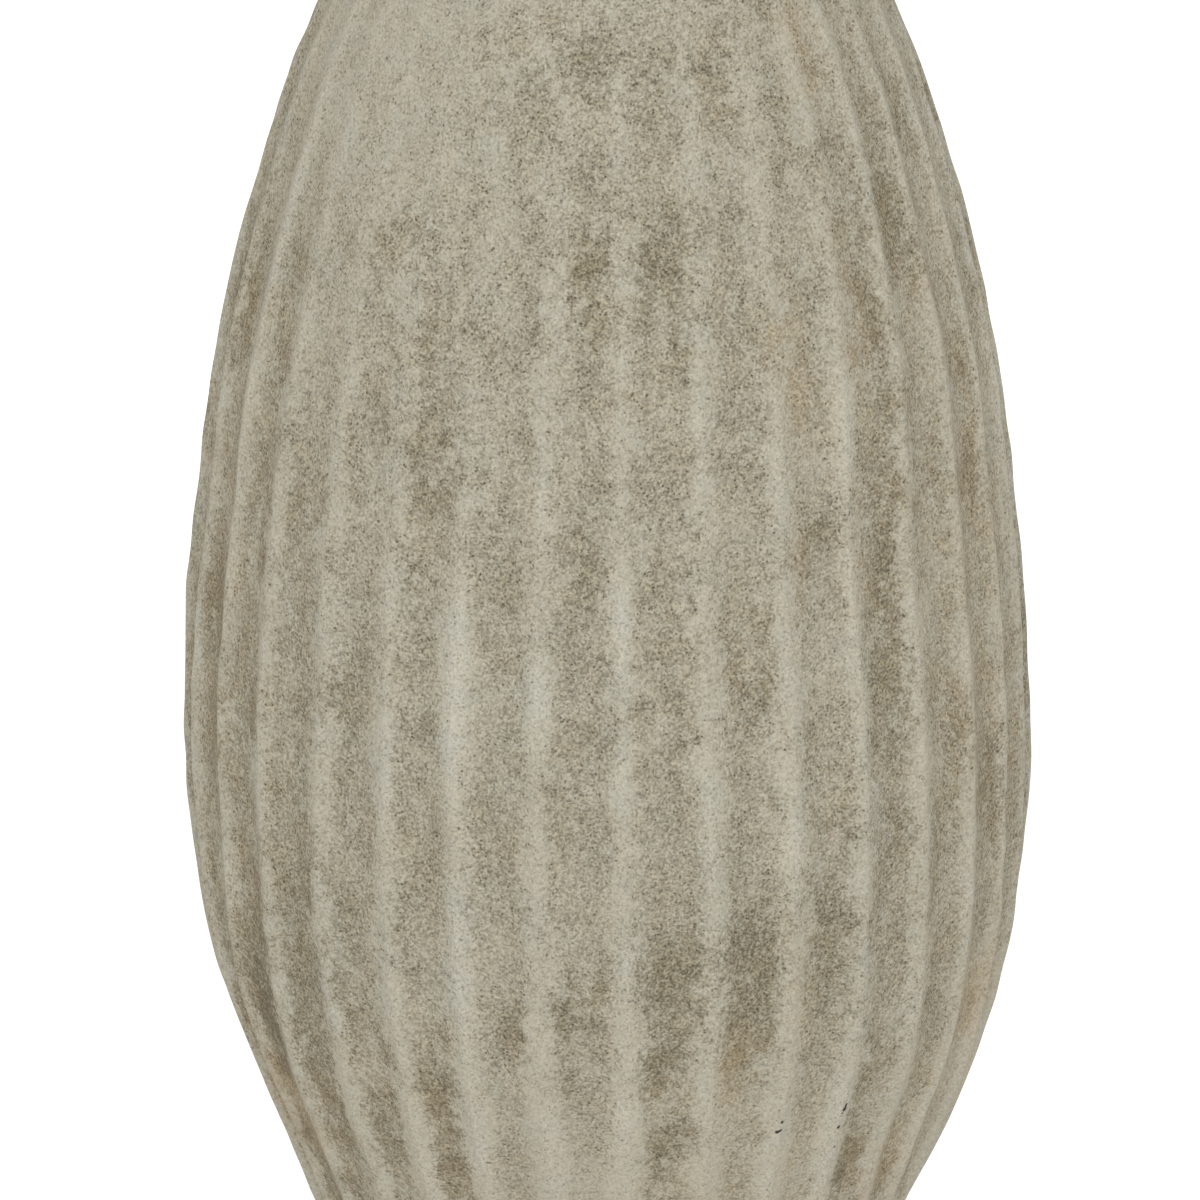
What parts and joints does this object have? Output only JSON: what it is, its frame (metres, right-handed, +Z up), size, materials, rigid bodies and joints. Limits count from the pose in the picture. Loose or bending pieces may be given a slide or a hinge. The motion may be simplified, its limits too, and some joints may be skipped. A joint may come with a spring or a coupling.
{
  "type": "vase",
  "caption": "Tall egg-bodied stoneware vase of olpe form, with scooped vertical flutes, a smooth shoulder, a flared neck and a rolled lip, to hold branches or cut flowers.",
  "frame": {"origin": "on the surface that the vase stands on, under the middle of the foot", "axes": "+Z up along the vase's axis, -Y towards the viewer of the picture, +X to the viewer's right"},
  "size_m": [0.2398, 0.2398, 0.514],
  "materials": {
    "weathered_clay": "matt, unglazed, speckled and mottled",
    "bare_clay": "matt, unglazed",
    "felt": "pressed felt"
  },
  "bodies": {
    "root": {"lower_wall": "weathered_clay", "upper_wall": "weathered_clay", "shoulder_ring": "weathered_clay", "neck": "weathered_clay", "lip_roll": "weathered_clay", "floor_disc": "weathered_clay", "foot_ring": "weathered_clay", "floor_seam_coil": "bare_clay", "belly_seam_coil": "bare_clay", "shoulder_seam_coil": "bare_clay", "neck_seam_coil": "bare_clay", "felt_disc_1": "felt", "felt_disc_2": "felt", "felt_disc_3": "felt", "felt_disc_4": "felt"}
  },
  "joints": []
}
